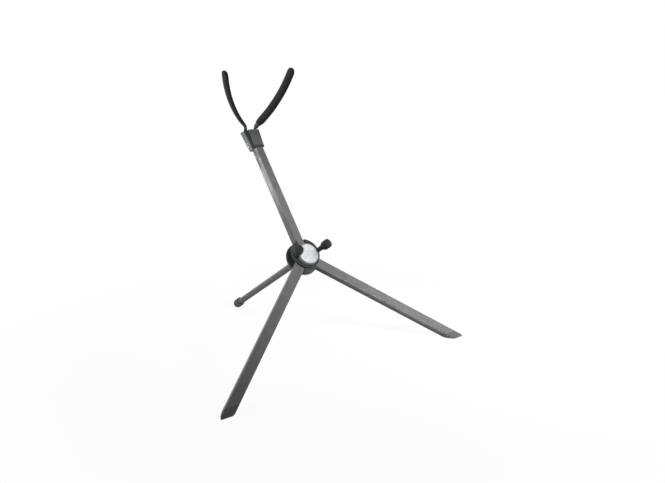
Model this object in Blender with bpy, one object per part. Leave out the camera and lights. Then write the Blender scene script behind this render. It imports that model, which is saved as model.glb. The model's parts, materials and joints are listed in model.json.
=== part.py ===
"""Folding tabletop-height stand for an alto saxophone.

Two flat legs and the arm lie in one plane that leans back. A round leg props that plane from
behind. The legs fold up beside the arm, the round leg folds up behind it, and the two fork arms
swivel in the head until they stand one beside the other.

Everything hangs on an empty at the middle of the hub, turned so that its own z runs up the arm
and its own y runs to the back, square to the plane of the legs. In the comments below, across is
x, up the arm is z, and forward is minus y. A place in the hub is written as at(x, up, forward).
"""

import math

import bmesh
import bpy
from mathutils import Matrix, Vector

MM = 0.001

# Posture of the open stand
LEAN = math.radians(40.0)            # how far the plane of arm and legs leans back
LEG_SPREAD = math.radians(48.0)      # each flat leg, away from straight down in that plane
LEG_REACH = 269.5 * MM               # hub centre to floor, along a flat leg
REAR_RISE = math.radians(6.3)        # round leg, above square to the plane

# Gaps between pieces
GAP = 0.3 * MM                       # between pieces that touch
RUNNING = 0.3 * MM                   # round a pin in a hole
FOLD_GAP = 0.65 * MM                 # between a folded leg and the arm

# Flat legs
LEG_WIDTH = 15.0 * MM
LEG_THICKNESS = 10.0 * MM
LEG_WALL = 1.3 * MM
LEG_CORNER = 1.2 * MM
LEG_PIN_OFFSET = 3.0 * MM            # pin to centre line, across the leg
LEG_END = 4.5 * MM                   # tube past the pin, towards the hub centre
KNUCKLE_LENGTH = 34.0 * MM           # solid insert past the pin, towards the foot
FOOT_HEIGHT = 8.6 * MM               # rubber foot, up from the floor
FOOT_PLUG = 9.0 * MM                 # its plug inside the tube, measured straight up
FOOT_EDGE = 1.8 * MM                 # rounding round the sole

# Pins and washers of the flat legs
LEG_PIN_RADIUS = 2.0 * MM
LEG_PIN_SEAT = 3.5 * MM              # depth of each blind hole that holds the pin
WASHER_THICKNESS = 0.4 * MM
WASHER_WIDTH = 2.4 * MM

# Arm
ARM_WIDTH = 12.7 * MM
ARM_WALL = 1.5 * MM
ARM_CORNER = 1.0 * MM
ARM_TOP = 206.0 * MM                 # hub centre to the end of the tube
LOWER_PLUG_TOP = 27.0 * MM
UPPER_PLUG_LENGTH = 22.0 * MM

# Hub
HUB_RADIUS = 25.0 * MM
BACK_THICKNESS = 5.0 * MM
BACK_EDGE = 2.5 * MM
WEB_INSET = 1.2 * MM                 # web inside the edge of the back plate
WEB_EDGE = 0.5 * MM
FRONT_RADIUS = 22.6 * MM
FRONT_RAISE = 2.5 * MM               # centre of the front plate above the hub centre
FRONT_THICKNESS = 4.0 * MM
FRONT_EDGE = 1.1 * MM
NOTCH_BOTTOM = 12.0 * MM             # where the arm comes out of the front plate
SWEEP_GAP = 0.45 * MM                # web to the swinging end of a leg
BOLT_RADIUS = 2.5 * MM
BOLT_HEAD_RADIUS = 4.6 * MM
BOLT_HEAD_HEIGHT = 2.6 * MM
NUT_RADIUS = 4.6 * MM
NUT_THICKNESS = 3.2 * MM
NUT_COVER = 0.4 * MM                 # nut below the back face

# Cap over the bolt
CAP_RADIUS = 16.5 * MM
CAP_THICKNESS = 4.8 * MM
CAP_EDGE = 0.6 * MM
CAP_ROOF = 0.9 * MM
CAP_DROP = 1.2 * MM                  # centre of the cap below the hub centre
BADGE_RADIUS = 14.9 * MM
BADGE_THICKNESS = 1.0 * MM
BADGE_PROUD = 0.3 * MM

# Pegs that the instrument's guard rests on
PEG_SPACING = 34.6 * MM              # between the pegs, at the face of the front plate
PEG_SPLAY = math.radians(19.0)
PEG_RAISE = 1.2 * MM                 # pegs above the hub centre
PEG_LENGTH = 27.4 * MM               # out of the front plate
PEG_HEAD_LENGTH = 13.0 * MM          # tip to the middle of the swelling
PEG_HEAD_RADIUS = 6.7 * MM
PEG_NECK_RADIUS = 3.4 * MM
PEG_FLARE = 8.5 * MM                 # length over which the neck swells into the head
STUD_RADIUS = 2.0 * MM
STUD_SEAT = 3.0 * MM                 # stud inside the front plate
PEG_TIP = 4.0 * MM                   # rubber past the end of the stud

# Round leg behind the hub
ROD_RADIUS = 5.0 * MM
ROD_WALL = 1.3 * MM
ROD_START = 7.0 * MM                 # hinge pin to the tube
HINGE_BACK = 18.8 * MM               # hinge pin behind the hub centre
HINGE_RAISE = 1.9 * MM               # hinge pin above the hub centre
EYE_RADIUS = 5.0 * MM
EYE_WIDTH = 9.4 * MM
SPIGOT_LENGTH = 22.0 * MM
HINGE_PIN_RADIUS = 2.0 * MM
HINGE_HEAD_RADIUS = 3.4 * MM
HINGE_HEAD_HEIGHT = 1.4 * MM
REAR_FOOT_RADIUS = 7.1 * MM
REAR_FOOT_LENGTH = 16.0 * MM
REAR_FOOT_EDGE = 3.1 * MM
REAR_FOOT_FLOOR = 3.5 * MM           # rubber past the end of the tube

# Bracket that carries the round leg
BRACKET_BASE = 2.0 * MM
BRACKET_WIDTH = 27.0 * MM
BRACKET_TOP = 12.5 * MM
BRACKET_BOTTOM = 15.5 * MM
EAR_THICKNESS = 2.0 * MM
EAR_RADIUS = 6.2 * MM
LIP_THICKNESS = 2.4 * MM             # ledge between the ears, which the round leg rests on
LIP_LENGTH = 3.0 * MM                # past the hinge pin
BRACKET_SCREW_X = 9.8 * MM
BRACKET_SCREW_UPPER = 9.0 * MM
BRACKET_SCREW_LOWER = 12.0 * MM
SMALL_SCREW_RADIUS = 1.2 * MM
SMALL_HEAD_RADIUS = 2.0 * MM
SMALL_HEAD_HEIGHT = 1.5 * MM
SMALL_SCREW_DEPTH = 3.4 * MM

# Head at the top of the arm
HEAD_GRIP = 20.0 * MM                # overlap with the arm
HEAD_COVER = 12.6 * MM               # head above the end of the arm, on the plane of the arm
HEAD_REAR = 8.0 * MM                 # rear face behind the plane of the arm
HEAD_FRONT = 8.3 * MM                # front face before it
HEAD_SPLIT = 3.0 * MM                # where the two shells meet
HEAD_SHOULDER = 5.0 * MM             # where the front shell's sides start to slope in
HEAD_FACE = 7.4 * MM                 # half width of the front face
FACE_PLATE = 1.2 * MM                # thickness of the plate on it
HEAD_HALF_BOTTOM = 10.1 * MM
HEAD_FLARE = 0.09                    # widening of each side, per length up the arm
HEAD_TOP_SLOPE = 0.33                # fall of the top towards the front
HEAD_SCREW_DROP = 5.0 * MM           # upper screw below the end of the arm
HEAD_SCREW_SPACING = 9.5 * MM

# Fork
FORK_SPACING = 17.4 * MM             # between the shanks
FORK_PITCH = math.radians(58.8)      # shank, forward of the arm's direction
FORK_RISE = 0.6 * MM                 # where the shanks leave the head, above its top
FORK_FORWARD = 2.9 * MM              # and forward of the plane of the arm
SHANK_RADIUS = 2.3 * MM
SHANK_DEPTH = 8.5 * MM
SHANK_SEAT = 2.2 * MM                # of the head, under the shank
SHANK_COLLAR = 0.8 * MM              # round shank above the head
FORGE_LENGTH = 3.2 * MM              # past the collar, where the round bar is forged flat
FORK_START = math.radians(0.0)       # outward slope of an arm at the head
FORK_FLARE = math.radians(44.0)      # steepest outward slope
FORK_END = math.radians(11.0)        # outward slope at the tip
FORK_FLARE_LENGTH = 9.0 * MM
FORK_SWEEP_LENGTH = 101.0 * MM
STRIP_THICKNESS = 2.6 * MM
STRIP_WIDTH = 11.0 * MM
STRIP_NECK = 9.0 * MM                # bare strip between head and sleeve
SLEEVE_THICKNESS = 5.4 * MM
SLEEVE_WIDTH = 16.6 * MM
SLEEVE_LIP = 0.8 * MM                # wall beside the strip at the open end
SLEEVE_TAPER = 9.0 * MM              # length over which it widens
SLEEVE_TIP = 5.0 * MM                # rubber past the end of the strip
FORK_STEPS = 26                      # rings along each fork arm

# Worked out from the sizes above
HEAD_BOTTOM = ARM_TOP - HEAD_GRIP
HEAD_TOP = ARM_TOP + HEAD_COVER
FORK_BASE = HEAD_TOP + FORK_RISE
FORK_LENGTH = FORK_FLARE_LENGTH + FORK_SWEEP_LENGTH
UP = Vector((0.0, -math.sin(LEAN), math.cos(LEAN)))
DROP = math.cos(LEG_SPREAD) * math.cos(LEAN)
HUB_HEIGHT = LEG_REACH * DROP
LEG_FACE = LEG_THICKNESS / 2
ARM_FACE = ARM_WIDTH / 2
FOLDED_X = ARM_FACE + FOLD_GAP + LEG_WIDTH / 2
PIN_ALONG = (FOLDED_X - LEG_PIN_OFFSET * (1 + math.cos(LEG_SPREAD))) / math.sin(LEG_SPREAD)
PIN_X = PIN_ALONG * math.sin(LEG_SPREAD) + LEG_PIN_OFFSET * math.cos(LEG_SPREAD)
PIN_UP = LEG_PIN_OFFSET * math.sin(LEG_SPREAD) - PIN_ALONG * math.cos(LEG_SPREAD)
PIN_HEIGHT = HUB_HEIGHT + PIN_UP * math.cos(LEAN)
RECESS = -LEG_FACE - WASHER_THICKNESS - 2 * GAP
BACK_FACE = RECESS - BACK_THICKNESS
FRONT_BACK = LEG_FACE + GAP
FRONT_FACE = FRONT_BACK + FRONT_THICKNESS
CAP_BACK = FRONT_FACE + GAP
CAP_FACE = CAP_BACK + CAP_THICKNESS
PEG_ROOT = PEG_SPACING / 2
BADGE_BACK = CAP_FACE + BADGE_PROUD - BADGE_THICKNESS
SIDES = (("left", -1), ("right", 1))
FLAT = math.radians(0.05)            # a face bent more than this is split into flat ones

COLOURS = {
    "anodised": ((0.165, 0.170, 0.172), 0.42, 0.85),
    "nylon": ((0.022, 0.023, 0.024), 0.50, 0.0),
    "grey_nylon": ((0.085, 0.088, 0.090), 0.45, 0.0),
    "rubber": ((0.018, 0.018, 0.019), 0.72, 0.0),
    "steel": ((0.50, 0.51, 0.52), 0.30, 1.0),
    "badge": ((0.80, 0.81, 0.82), 0.28, 0.9),
}


def clear_scene():
    for item in list(bpy.data.objects):
        bpy.data.objects.remove(item, do_unlink=True)


def at(x, up, forward):
    """A place in the hub's frame."""
    return Vector((x, -forward, up))


def empty(name, parent, location, rotation):
    item = bpy.data.objects.new(name, None)
    bpy.context.collection.objects.link(item)
    item.parent = parent
    item.location = location
    item.rotation_euler = rotation
    return item


def material(name, finish):
    colour, roughness, metallic = COLOURS[finish]
    made = bpy.data.materials.new(name)
    made.use_nodes = True
    shader = made.node_tree.nodes["Principled BSDF"]
    shader.inputs["Base Color"].default_value = (*colour, 1.0)
    shader.inputs["Roughness"].default_value = roughness
    shader.inputs["Metallic"].default_value = metallic
    return made


def solid(name, mesh, parent, finish, location=(0, 0, 0), rotation=(0, 0, 0)):
    """An object from a bmesh, faces out, shaded smooth with its sharp edges kept."""
    bmesh.ops.connect_verts_nonplanar(mesh, faces=mesh.faces[:], angle_limit=FLAT)
    bmesh.ops.recalc_face_normals(mesh, faces=mesh.faces)
    data = bpy.data.meshes.new(name)
    mesh.to_mesh(data)
    mesh.free()
    data.shade_smooth()
    data.set_sharp_from_angle(angle=math.radians(35))
    item = bpy.data.objects.new(name, data)
    bpy.context.collection.objects.link(item)
    item.parent = parent
    item.location = location
    item.rotation_euler = rotation
    if finish:
        data.materials.append(material(name, finish))
    return item


def cut(item, mesh, location=(0, 0, 0), rotation=(0, 0, 0), operation="DIFFERENCE"):
    """Cut a shape out of an object, or join it on. The cutter keeps to the same parent."""
    tool = solid(item.name + "_cutter", mesh, item.parent, None, location, rotation)
    tool.hide_render = True
    tool.display_type = "WIRE"
    change = item.modifiers.new("cut", "BOOLEAN")
    change.object = tool
    change.operation = operation
    change.solver = "EXACT"


def loft(rings):
    """A closed body through rings of points that all have the same count."""
    mesh = bmesh.new()
    loops = [[mesh.verts.new(point) for point in ring] for ring in rings]
    count = len(loops[0])
    for lower, upper in zip(loops[:-1], loops[1:]):
        for i in range(count):
            j = (i + 1) % count
            mesh.faces.new((lower[i], lower[j], upper[j], upper[i]))
    mesh.faces.new(loops[0])
    mesh.faces.new(reversed(loops[-1]))
    return mesh


def hollow(outer, inner):
    """An open tube between two lists of rings, each running from the first end to the last."""
    mesh = bmesh.new()
    rings = list(outer) + list(reversed(inner))
    loops = [[mesh.verts.new(point) for point in ring] for ring in rings]
    count = len(loops[0])
    for k, lower in enumerate(loops):
        upper = loops[(k + 1) % len(loops)]
        for i in range(count):
            j = (i + 1) % count
            mesh.faces.new((lower[i], lower[j], upper[j], upper[i]))
    return mesh


def facing(points, forward):
    """An outline of (x, up) points as a ring square to the plane of the legs."""
    return [at(x, up, forward) for x, up in points]


def slab(points, back, front, edge=0.0, back_edge=0.0):
    """A flat piece with its outline in the plane of the legs, its edges bevelled by offset."""
    rings = []
    if back_edge:
        rings.append(facing(shrink(points, back_edge), back))
        rings.append(facing(points, back + back_edge))
    else:
        rings.append(facing(points, back))
    if edge:
        rings.append(facing(points, front - edge))
        rings.append(facing(shrink(points, edge * 0.3), front - edge * 0.3))
        rings.append(facing(shrink(points, edge), front))
    else:
        rings.append(facing(points, front))
    return loft(rings)


def shrink(points, distance):
    """Move each point of a convex outline in towards its centre."""
    middle = sum((Vector(p) for p in points), Vector((0.0, 0.0))) / len(points)
    moved = []
    for p in points:
        inward = middle - Vector(p)
        moved.append(tuple(Vector(p) + inward.normalized() * distance))
    return moved


def round_points(radius, count, x=0.0, up=0.0, start=0.0, turn=2 * math.pi):
    """Points of a circle or an arc; a whole circle leaves out its repeated last point."""
    whole = abs(turn - 2 * math.pi) < 1e-9
    steps = count if whole else count - 1
    angles = [start + turn * i / steps for i in range(count)]
    return [(x + radius * math.cos(a), up + radius * math.sin(a)) for a in angles]


def box_points(width, depth, corner, x=0.0, y=0.0, steps=3):
    """A rectangle with rounded corners."""
    points = []
    for sx, sy, start in ((1, 1, 0), (-1, 1, 90), (-1, -1, 180), (1, -1, 270)):
        cx = x + sx * (width / 2 - corner)
        cy = y + sy * (depth / 2 - corner)
        arc = round_points(corner, steps, cx, cy, math.radians(start), math.pi / 2)
        points.extend(arc)
    return points


def turned(profile, count, closed=False):
    """A body turned about z from (radius, height) points; closed joins the last to the first."""
    mesh = bmesh.new()
    rings = []
    for radius, height in profile:
        if radius <= 0:
            rings.append([mesh.verts.new((0.0, 0.0, height))])
            continue
        rings.append([mesh.verts.new((a, b, height)) for a, b in round_points(radius, count)])
    pairs = list(zip(rings[:-1], rings[1:]))
    if closed:
        pairs.append((rings[-1], rings[0]))
    for lower, upper in pairs:
        if len(lower) + len(upper) == 2:
            continue
        for i in range(count):
            j = (i + 1) % count
            corners = [lower[i % len(lower)], lower[j % len(lower)],
                       upper[j % len(upper)], upper[i % len(upper)]]
            mesh.faces.new(list(dict.fromkeys(corners)))
    return mesh


def peg_of(radius, low, high, count=16):
    """A plain round bar along z."""
    return turned([(0, low), (radius, low), (radius, high), (0, high)], count)


def ring_of(inner, outer, low, high, count=20):
    """A plain ring along z."""
    return turned([(inner, low), (outer, low), (outer, high), (inner, high)], count, True)


FORWARD = (math.pi / 2, 0, 0)        # turns a piece's z to point forward
ACROSS = (0, math.pi / 2, 0)         # turns a piece's z to point across


def leg_sweep():
    """Radius that the swinging end of a flat leg needs about its pin."""
    return math.hypot(LEG_END, LEG_WIDTH / 2 + LEG_PIN_OFFSET) + SWEEP_GAP


def back_plate(stand):
    """Moulded disc behind arm and legs, with seats for pins, washers, bolt, nut and screws."""
    disc = slab(round_points(HUB_RADIUS, 48), BACK_FACE, RECESS, 0.0, BACK_EDGE)
    plate = solid("hub_back_plate", disc, stand, "nylon")
    far = HUB_RADIUS * 2
    seat = RECESS - LEG_PIN_SEAT
    for _, side in SIDES:
        spot = (side * PIN_X, PIN_UP)
        cut(plate, slab(round_points(LEG_PIN_RADIUS + RUNNING, 16, *spot), seat, LEG_FACE))
    cut(plate, slab(arm_room(far), -ARM_FACE - GAP, LEG_FACE + LEG_WALL))
    pocket = round_points(NUT_RADIUS + GAP, 6)
    pocket_floor = BACK_FACE + NUT_COVER + NUT_THICKNESS + GAP
    cut(plate, slab(pocket, BACK_FACE - BACK_EDGE, pocket_floor))
    cut(plate, slab(round_points(BOLT_RADIUS + GAP, 16), pocket_floor - GAP, 0))
    for x, up in bracket_screw_places():
        hole = round_points(SMALL_SCREW_RADIUS + GAP, 12, x, up)
        cut(plate, slab(hole, BACK_FACE - BACK_EDGE, BACK_FACE + SMALL_SCREW_DEPTH + GAP))


def stop_web(stand):
    """Wedge between the flat legs, which they rest on when the stand is open."""
    radius = HUB_RADIUS - WEB_INSET
    clear = (LEG_WIDTH / 2 + GAP) / math.sin(LEG_SPREAD)
    far = HUB_RADIUS * 2
    disc = slab(round_points(radius, 48), RECESS + GAP, LEG_FACE, WEB_EDGE)
    web = solid("leg_stop_web", disc, stand, "grey_nylon")
    side_end = far * math.sin(LEG_SPREAD)
    low_end = -clear - far * math.cos(LEG_SPREAD)
    above = [(0, -clear), (side_end, low_end), (far, far), (-far, far), (-side_end, low_end)]
    cut(web, slab(above, RECESS - GAP, far))
    for _, side in SIDES:
        spot = (side * PIN_X, PIN_UP)
        cut(web, slab(round_points(leg_sweep(), 40, *spot), RECESS - GAP, far))


def arm_room(top):
    """Outline of the channel for the arm, round at its lower end."""
    half = ARM_FACE + GAP
    return round_points(half, 25, 0, 0, math.pi, math.pi) + [(half, top), (-half, top)]


def front_plate(stand):
    """Round plate that closes the hub over the legs; the arm comes out of its notch."""
    outline = round_points(FRONT_RADIUS, 48, 0.0, FRONT_RAISE)
    disc = slab(outline, FRONT_BACK, FRONT_FACE, FRONT_EDGE)
    plate = solid("hub_front_plate", disc, stand, "nylon")
    half = ARM_FACE + GAP
    far = HUB_RADIUS * 2
    cut(plate, slab(arm_room(far * 2), 0, half))
    notch = [(-half, NOTCH_BOTTOM), (half, NOTCH_BOTTOM), (half, far), (-half, far)]
    cut(plate, slab(notch, 0, far))
    cut(plate, slab(round_points(BOLT_RADIUS + GAP, 16), 0, far))
    for _, side in SIDES:
        spot = (side * PIN_X, PIN_UP)
        cut(plate, slab(round_points(LEG_PIN_RADIUS + RUNNING, 16, *spot), 0, pin_front() + GAP))
        bore = peg_of(STUD_RADIUS + GAP, -STUD_SEAT - GAP, HUB_RADIUS)
        cut(plate, bore, peg_root(side), peg_turn(side))


def pin_front():
    """Forward end of a flat leg's pin, in its blind hole in the front plate."""
    return min(FRONT_BACK + LEG_PIN_SEAT, FRONT_FACE) - 2 * GAP


def leg_pins(stand):
    """Steel pins of the flat legs, held blind between back plate and front plate."""
    for side_name, side in SIDES:
        length = pin_front() - (RECESS - LEG_PIN_SEAT + GAP)
        spot = at(side * PIN_X, PIN_UP, RECESS - LEG_PIN_SEAT + GAP)
        body = peg_of(LEG_PIN_RADIUS, 0, length)
        solid(side_name + "_leg_pin", body, stand, "steel", spot, FORWARD)
        low = LEG_PIN_RADIUS + RUNNING
        washer = ring_of(low, low + WASHER_WIDTH, 0, WASHER_THICKNESS)
        spot = at(side * PIN_X, PIN_UP, RECESS + GAP)
        solid(side_name + "_leg_washer", washer, stand, "steel", spot, FORWARD)


def centre_bolt(stand):
    """Bolt that clamps front plate, arm and back plate, with its nut let into the back."""
    head = FRONT_FACE + GAP
    tail = BACK_FACE + NUT_COVER
    rise = BOLT_HEAD_HEIGHT
    profile = [(0, 0), (BOLT_RADIUS, 0), (BOLT_RADIUS, head - tail), (BOLT_HEAD_RADIUS, head - tail),
               (BOLT_HEAD_RADIUS, head - tail + rise * 0.6),
               (BOLT_HEAD_RADIUS * 0.7, head - tail + rise), (0, head - tail + rise)]
    solid("centre_bolt", turned(profile, 20), stand, "steel", at(0, 0, tail), FORWARD)
    top = tail + NUT_THICKNESS
    nut = solid("centre_nut", slab(round_points(NUT_RADIUS, 6), tail, top), stand, "steel")
    bore = round_points(BOLT_RADIUS + GAP, 16)
    cut(nut, slab(bore, tail - NUT_THICKNESS, top + NUT_THICKNESS))


def peg_root(side):
    return at(side * PEG_ROOT, PEG_RAISE, FRONT_FACE)


def peg_turn(side):
    """Forward, and splayed outward."""
    splay = Matrix.Rotation(side * PEG_SPLAY, 3, "Z")
    return (splay @ Matrix.Rotation(math.pi / 2, 3, "X")).to_euler()


def pegs(stand):
    """Steel studs in the front plate, each under a moulded rubber sleeve with a fat head."""
    for side_name, side in SIDES:
        end = PEG_LENGTH - PEG_TIP
        stud = peg_of(STUD_RADIUS, -STUD_SEAT, end)
        solid(side_name + "_peg_stud", stud, stand, "steel", peg_root(side), peg_turn(side))
        foot = math.tan(PEG_SPLAY) * PEG_NECK_RADIUS + GAP
        shoulder = PEG_LENGTH - PEG_HEAD_LENGTH
        bore = STUD_RADIUS + GAP
        tip = PEG_HEAD_RADIUS * 0.42
        profile = [(bore, foot), (PEG_NECK_RADIUS, foot), (PEG_NECK_RADIUS, shoulder - PEG_FLARE * 0.5)]
        for i in range(1, 6):
            turn = math.pi * i / 6
            middle = (PEG_NECK_RADIUS + PEG_HEAD_RADIUS) / 2
            swing = (PEG_HEAD_RADIUS - PEG_NECK_RADIUS) / 2
            profile.append((middle - swing * math.cos(turn), shoulder + PEG_FLARE * (i / 6 - 0.5)))
        profile.append((PEG_HEAD_RADIUS, shoulder + PEG_FLARE * 0.5))
        for i in range(5):
            turn = math.pi / 2 * i / 4
            ring = PEG_HEAD_RADIUS - tip + tip * math.cos(turn)
            profile.append((ring, PEG_LENGTH - tip + tip * math.sin(turn)))
        profile.append((0, PEG_LENGTH))
        profile.append((0, end + GAP))
        profile.append((bore, end + GAP))
        sleeve = turned(profile, 24, True)
        solid(side_name + "_peg_rubber", sleeve, stand, "rubber", peg_root(side), peg_turn(side))


def cap_and_badge(stand):
    """Moulded cap over the bolt head, notched for the pegs, with a metal disc let into it."""
    outline = round_points(CAP_RADIUS, 48, 0.0, -CAP_DROP)
    cap = solid("hub_cap", slab(outline, CAP_BACK, CAP_FACE, CAP_EDGE), stand, "grey_nylon")
    seat = round_points(BADGE_RADIUS + GAP, 48, 0.0, -CAP_DROP)
    cut(cap, slab(seat, BADGE_BACK - GAP, CAP_FACE + CAP_ROOF))
    roof = BADGE_BACK - GAP - CAP_ROOF
    cut(cap, slab(round_points(BOLT_HEAD_RADIUS + 2 * GAP, 24), FRONT_BACK, roof))
    disc = slab(round_points(BADGE_RADIUS, 48, 0.0, -CAP_DROP), BADGE_BACK,
                BADGE_BACK + BADGE_THICKNESS, BADGE_PROUD)
    badge = solid("badge_disc", disc, stand, "badge")
    for item in (cap, badge):
        for _, side in SIDES:
            room = peg_of(PEG_NECK_RADIUS + 2 * GAP, -STUD_SEAT, PEG_LENGTH, 20)
            cut(item, room, peg_root(side), peg_turn(side))


def leg_frame(stand, side_name, side):
    """Empty on a flat leg's pin, its z down the leg."""
    turn = (0, side * (math.pi - LEG_SPREAD), 0)
    return empty(side_name + "_leg_pivot", stand, at(side * PIN_X, PIN_UP, 0), turn)


def leg_depth(x, y, height, side):
    """How far down the leg a line at (x, y) comes to a height above the floor."""
    across = side * x * math.sin(LEG_SPREAD) * math.cos(LEAN)
    return (PIN_HEIGHT - across - y * math.sin(LEAN) - height) / DROP


def leg_ring(points, height, side):
    return [(x, y, leg_depth(x, y, height, side)) for x, y in points]


def flat_leg(stand, side_name, side):
    """Rectangular aluminium tube with a solid insert at the pin and a rubber foot."""
    frame = leg_frame(stand, side_name, side)
    x = side * LEG_PIN_OFFSET
    wall = 2 * LEG_WALL
    inside = LEG_CORNER * 0.5
    outer = box_points(LEG_WIDTH, LEG_THICKNESS, LEG_CORNER, x)
    inner = box_points(LEG_WIDTH - wall, LEG_THICKNESS - wall, inside, x)
    plug = box_points(LEG_WIDTH - wall - 2 * GAP, LEG_THICKNESS - wall - 2 * GAP, inside, x)
    top = FOOT_HEIGHT + GAP
    tube = hollow([[(a, b, -LEG_END) for a, b in outer], leg_ring(outer, top, side)],
                  [[(a, b, -LEG_END) for a, b in inner], leg_ring(inner, top, side)])
    tube = solid(side_name + "_leg_tube", tube, frame, "anodised")
    knuckle = loft([[(a, b, -LEG_END) for a, b in plug], [(a, b, KNUCKLE_LENGTH) for a, b in plug]])
    knuckle = solid(side_name + "_leg_knuckle", knuckle, frame, "nylon")
    for item in (tube, knuckle):
        bore = peg_of(LEG_PIN_RADIUS + RUNNING, -LEG_THICKNESS, LEG_THICKNESS)
        cut(item, bore, (0, 0, 0), FORWARD)
    foot = []
    for turn in (0, 30, 60, 90):
        inset = FOOT_EDGE * (1 - math.sin(math.radians(turn)))
        rise = FOOT_EDGE * (1 - math.cos(math.radians(turn)))
        sole = box_points(LEG_WIDTH - 2 * inset, LEG_THICKNESS - 2 * inset, LEG_CORNER, x)
        foot.append(leg_ring(sole, rise, side))
    foot.append(leg_ring(outer, FOOT_HEIGHT, side))
    foot.append(leg_ring(plug, FOOT_HEIGHT, side))
    foot.append(leg_ring(plug, FOOT_HEIGHT + FOOT_PLUG, side))
    solid(side_name + "_leg_foot", loft(foot), frame, "rubber")


def arm(stand):
    """Square aluminium tube, round at the lower end, with a solid plug at each end."""
    outer = box_points(ARM_WIDTH, ARM_WIDTH, ARM_CORNER)
    inner = box_points(ARM_WIDTH - 2 * ARM_WALL, ARM_WIDTH - 2 * ARM_WALL, ARM_CORNER * 0.5)
    tube = hollow([[(a, b, -ARM_FACE) for a, b in outer], [(a, b, ARM_TOP) for a, b in outer]],
                  [[(a, b, -ARM_FACE) for a, b in inner], [(a, b, ARM_TOP) for a, b in inner]])
    tube = solid("arm_tube", tube, stand, "anodised")
    room = ARM_WIDTH - 2 * ARM_WALL - 2 * GAP
    square = box_points(room, room, ARM_CORNER * 0.5)
    low = -ARM_FACE
    lower = loft([[(a, b, low) for a, b in square], [(a, b, LOWER_PLUG_TOP) for a, b in square]])
    lower = solid("arm_lower_plug", lower, stand, "nylon")
    end = ARM_TOP - UPPER_PLUG_LENGTH
    upper = loft([[(a, b, end) for a, b in square], [(a, b, ARM_TOP) for a, b in square]])
    upper = solid("arm_upper_plug", upper, stand, "nylon")
    for item in (tube, lower):
        cut(item, round_end(), (0, 0, 0))
        cut(item, peg_of(BOLT_RADIUS + GAP, -ARM_WIDTH, ARM_WIDTH), (0, 0, 0), FORWARD)
    for item in (tube, upper):
        for up in head_screw_heights():
            cut(item, peg_of(SMALL_SCREW_RADIUS + GAP, -ARM_WIDTH, ARM_WIDTH, 12), at(0, up, 0), FORWARD)


def round_end():
    """What is left outside the arm's rounded lower end."""
    far = ARM_WIDTH
    outline = round_points(ARM_FACE, 25, 0, 0, math.pi, math.pi)
    outline = outline + [(ARM_FACE, GAP), (far, GAP), (far, -far), (-far, -far), (-far, GAP),
                         (-ARM_FACE, GAP)]
    return slab(outline, -far, far)


def head_half(up):
    """Half width of the head at a height up the arm."""
    return HEAD_HALF_BOTTOM + (up - HEAD_BOTTOM) * HEAD_FLARE


def head_outline(forward, half_face=None):
    """The head's outline at a depth; half_face narrows it to the front face."""
    top = HEAD_TOP - forward * HEAD_TOP_SLOPE
    low_half = half_face or head_half(HEAD_BOTTOM)
    top_half = half_face or head_half(top)
    return [(-low_half, HEAD_BOTTOM), (low_half, HEAD_BOTTOM), (top_half, top), (-top_half, top)]


def head_shells(stand):
    """Two moulded shells that grip the top of the arm and hold the fork's shanks."""
    rear = loft([facing(shrink(head_outline(-HEAD_REAR), GAP * 4), -HEAD_REAR),
                 facing(head_outline(-HEAD_REAR + GAP * 4), -HEAD_REAR + GAP * 4),
                 facing(head_outline(HEAD_SPLIT - GAP / 2), HEAD_SPLIT - GAP / 2)])
    rear = solid("head_rear_shell", rear, stand, "grey_nylon")
    seat = HEAD_FRONT - FACE_PLATE - GAP
    front = loft([facing(head_outline(HEAD_SPLIT + GAP / 2), HEAD_SPLIT + GAP / 2),
                  facing(head_outline(HEAD_SHOULDER), HEAD_SHOULDER),
                  facing(head_outline(seat, HEAD_FACE), seat)])
    front = solid("head_front_shell", front, stand, "nylon")
    plate = loft([facing(head_outline(seat + GAP, HEAD_FACE), seat + GAP),
                  facing(head_outline(HEAD_FRONT, HEAD_FACE), HEAD_FRONT)])
    solid("head_face_plate", plate, stand, "grey_nylon")
    half = ARM_FACE + GAP
    room = [(-half, HEAD_BOTTOM - HEAD_REAR), (half, HEAD_BOTTOM - HEAD_REAR),
            (half, ARM_TOP + GAP), (-half, ARM_TOP + GAP)]
    for item in (rear, front):
        cut(item, slab(room, -half, half))
        for _, side in SIDES:
            cut(item, shank_hole(), fork_root(side), (FORK_PITCH, 0, 0))
    for up in head_screw_heights():
        hole = peg_of(SMALL_SCREW_RADIUS + GAP, -HEAD_REAR * 2, 0, 12)
        cut(rear, hole, at(0, up, 0), FORWARD)


def head_screw_heights():
    upper = ARM_TOP - HEAD_SCREW_DROP
    return (upper - HEAD_SCREW_SPACING, upper)


def shank_hole():
    """Bore for a fork shank, and below it the hole and the pocket for its screw."""
    far = HEAD_REAR * 2
    seat = -SHANK_DEPTH - GAP
    screw = SMALL_SCREW_RADIUS + GAP
    pocket = SMALL_HEAD_RADIUS + GAP
    profile = [(0, -far), (pocket, -far), (pocket, seat - SHANK_SEAT), (screw, seat - SHANK_SEAT),
               (screw, seat), (SHANK_RADIUS + RUNNING, seat), (SHANK_RADIUS + RUNNING, far), (0, far)]
    return turned(profile, 16)


def screw_body(length):
    """Small screw: shank up z from its head, which sits below zero."""
    rise = SMALL_HEAD_HEIGHT
    profile = [(0, length), (SMALL_SCREW_RADIUS, length), (SMALL_SCREW_RADIUS, 0),
               (SMALL_HEAD_RADIUS, 0), (SMALL_HEAD_RADIUS, -rise * 0.55),
               (SMALL_HEAD_RADIUS * 0.75, -rise), (0, -rise)]
    return turned(profile, 12)


def forward_screws(name, places, length, stand):
    """Like screws that all point forward, each its own piece."""
    for number, (x, up, forward) in enumerate(places, 1):
        piece = f"{name}_{number}"
        solid(piece, screw_body(length), stand, "steel", at(x, up, forward), FORWARD)


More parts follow.
